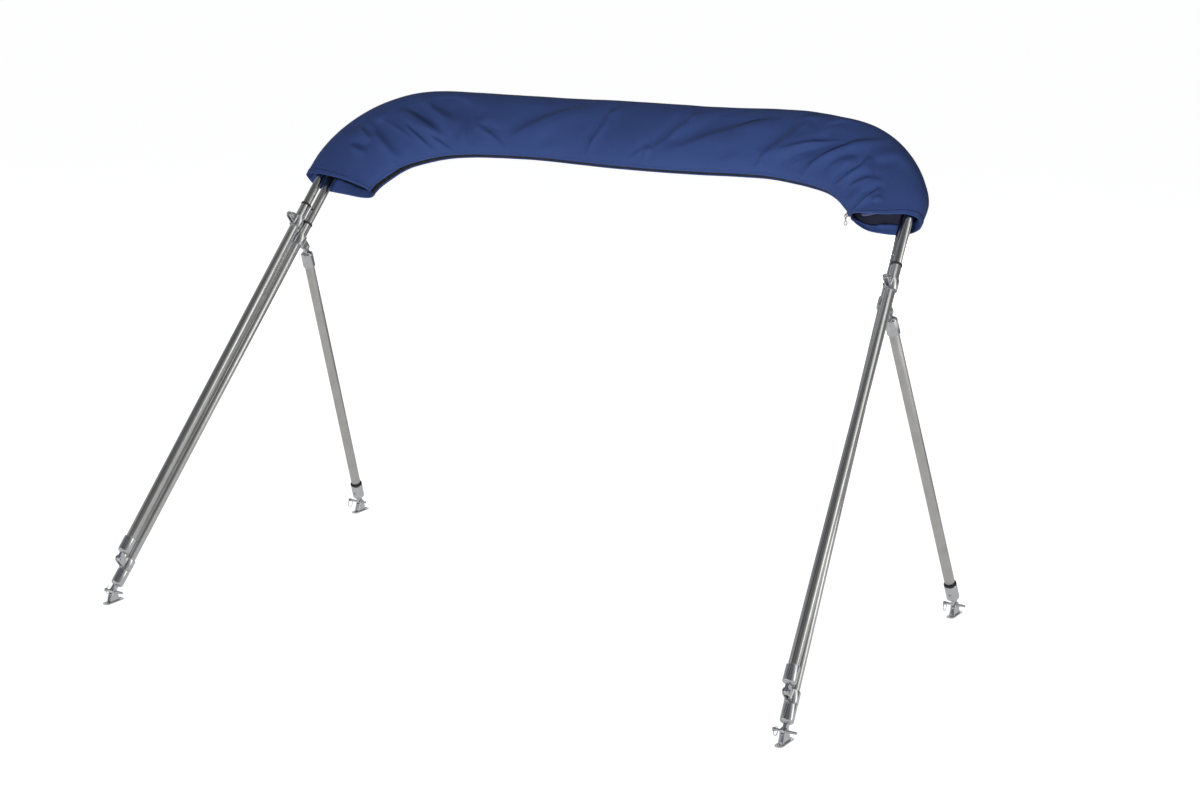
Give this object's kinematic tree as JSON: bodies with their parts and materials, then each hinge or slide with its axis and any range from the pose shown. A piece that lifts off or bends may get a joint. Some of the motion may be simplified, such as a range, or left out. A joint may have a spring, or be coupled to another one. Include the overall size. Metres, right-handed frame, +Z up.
{
  "type": "bimini top and its folding frame",
  "caption": "Bimini top on its stainless bow frame, folded back into a zipped navy boot over rear support struts, with deck hinges and quick-release pins",
  "frame": {"origin": "on the floor under the middle of the whole part", "axes": "+X across the boat towards its starboard legs as pictured (right), +Y aft from the front hinges to the rear ones, +Z up"},
  "size_m": [1.936, 1.053, 1.2202],
  "materials": {
    "polished_steel": "polished stainless steel",
    "satin_steel": "satin stainless steel",
    "collar_plastic": "moulded black plastic",
    "boot_canvas": "woven navy canvas",
    "canopy_canvas": "woven navy canvas, faded inner face",
    "zip_tape": "black woven tape with moulded teeth",
    "zip_slider": "moulded black plastic",
    "pull_metal": "dull cast metal"
  },
  "bodies": {
    "frame": {"main_bow_top": "polished_steel", "second_bow_top": "polished_steel", "boot_front_panel": "boot_canvas", "boot_back_panel": "boot_canvas", "zip_tape": "zip_tape", "canopy": "canopy_canvas", "zip_slider": "zip_slider", "zip_pull": "pull_metal", "main_leg_left": "polished_steel", "main_collar_left": "collar_plastic", "main_button_left": "polished_steel", "main_eye_end_left": "polished_steel", "second_hinge_slide_left": "polished_steel", "strut_slide_left": "polished_steel", "second_hinge_bolt_left": "polished_steel", "strut_bolt_left": "polished_steel", "second_eye_end_left": "polished_steel", "second_leg_left": "polished_steel", "second_collar_left": "collar_plastic", "second_button_left": "polished_steel", "spare_slide_left": "polished_steel", "spare_bolt_left": "polished_steel", "main_leg_right": "polished_steel", "main_collar_right": "collar_plastic", "main_button_right": "polished_steel", "main_eye_end_right": "polished_steel", "second_hinge_slide_right": "polished_steel", "strut_slide_right": "polished_steel", "second_hinge_bolt_right": "polished_steel", "strut_bolt_right": "polished_steel", "second_eye_end_right": "polished_steel", "second_leg_right": "polished_steel", "second_collar_right": "collar_plastic", "second_button_right": "polished_steel", "spare_slide_right": "polished_steel", "spare_bolt_right": "polished_steel"},
    "strut_left": {"strut_tube_left": "satin_steel", "strut_top_end_left": "polished_steel", "strut_foot_end_left": "polished_steel", "strut_collar_left": "collar_plastic", "strut_button_left": "polished_steel"},
    "strut_right": {"strut_tube_right": "satin_steel", "strut_top_end_right": "polished_steel", "strut_foot_end_right": "polished_steel", "strut_collar_right": "collar_plastic", "strut_button_right": "polished_steel"},
    "front_left_deck_hinge": {"front_left_deck_hinge": "polished_steel"},
    "front_left_pin": {"front_left_pin": "polished_steel", "front_left_ring": "polished_steel"},
    "front_right_deck_hinge": {"front_right_deck_hinge": "polished_steel"},
    "front_right_pin": {"front_right_pin": "polished_steel", "front_right_ring": "polished_steel"},
    "rear_left_deck_hinge": {"rear_left_deck_hinge": "polished_steel"},
    "rear_left_pin": {"rear_left_pin": "polished_steel", "rear_left_ring": "polished_steel"},
    "rear_right_deck_hinge": {"rear_right_deck_hinge": "polished_steel"},
    "rear_right_pin": {"rear_right_pin": "polished_steel", "rear_right_ring": "polished_steel"}
  },
  "joints": [
    {"name": "strut_left_swing", "type": "hinge", "parent": "frame", "child": "strut_left", "pos_m": [-0.84435, 0.19621, 0.80659], "axis": [0.9956, -0.0596, -0.0719], "range_deg": [-58, 90]},
    {"name": "strut_right_swing", "type": "hinge", "parent": "frame", "child": "strut_right", "pos_m": [0.84035, 0.19621, 0.80659], "axis": [0.9956, 0.0596, 0.0719], "range_deg": [-58, 90]},
    {"name": "front_left_hinge_turn", "type": "hinge", "parent": "frame", "child": "front_left_deck_hinge", "pos_m": [-0.942, -0.4945, 0.027], "axis": [1, 0, 0], "range_deg": [-105, 45]},
    {"name": "front_right_hinge_turn", "type": "hinge", "parent": "frame", "child": "front_right_deck_hinge", "pos_m": [0.938, -0.4945, 0.027], "axis": [1, 0, 0], "range_deg": [-105, 45]},
    {"name": "rear_left_hinge_turn", "type": "hinge", "parent": "strut_left", "child": "rear_left_deck_hinge", "pos_m": [-0.907, 0.4945, 0.027], "axis": [1, 0, 0], "range_deg": [-59, 100]},
    {"name": "rear_right_hinge_turn", "type": "hinge", "parent": "strut_right", "child": "rear_right_deck_hinge", "pos_m": [0.903, 0.4945, 0.027], "axis": [1, 0, 0], "range_deg": [-59, 100]},
    {"name": "front_left_pin_pull", "type": "slide", "parent": "front_left_deck_hinge", "child": "front_left_pin", "axis": [-1, 0, 0], "range_m": [0, 0.045]},
    {"name": "front_right_pin_pull", "type": "slide", "parent": "front_right_deck_hinge", "child": "front_right_pin", "axis": [-1, 0, 0], "range_m": [0, 0.045]},
    {"name": "rear_left_pin_pull", "type": "slide", "parent": "rear_left_deck_hinge", "child": "rear_left_pin", "axis": [-1, 0, 0], "range_m": [0, 0.035]},
    {"name": "rear_right_pin_pull", "type": "slide", "parent": "rear_right_deck_hinge", "child": "rear_right_pin", "axis": [-1, 0, 0], "range_m": [0, 0.045]}
  ]
}
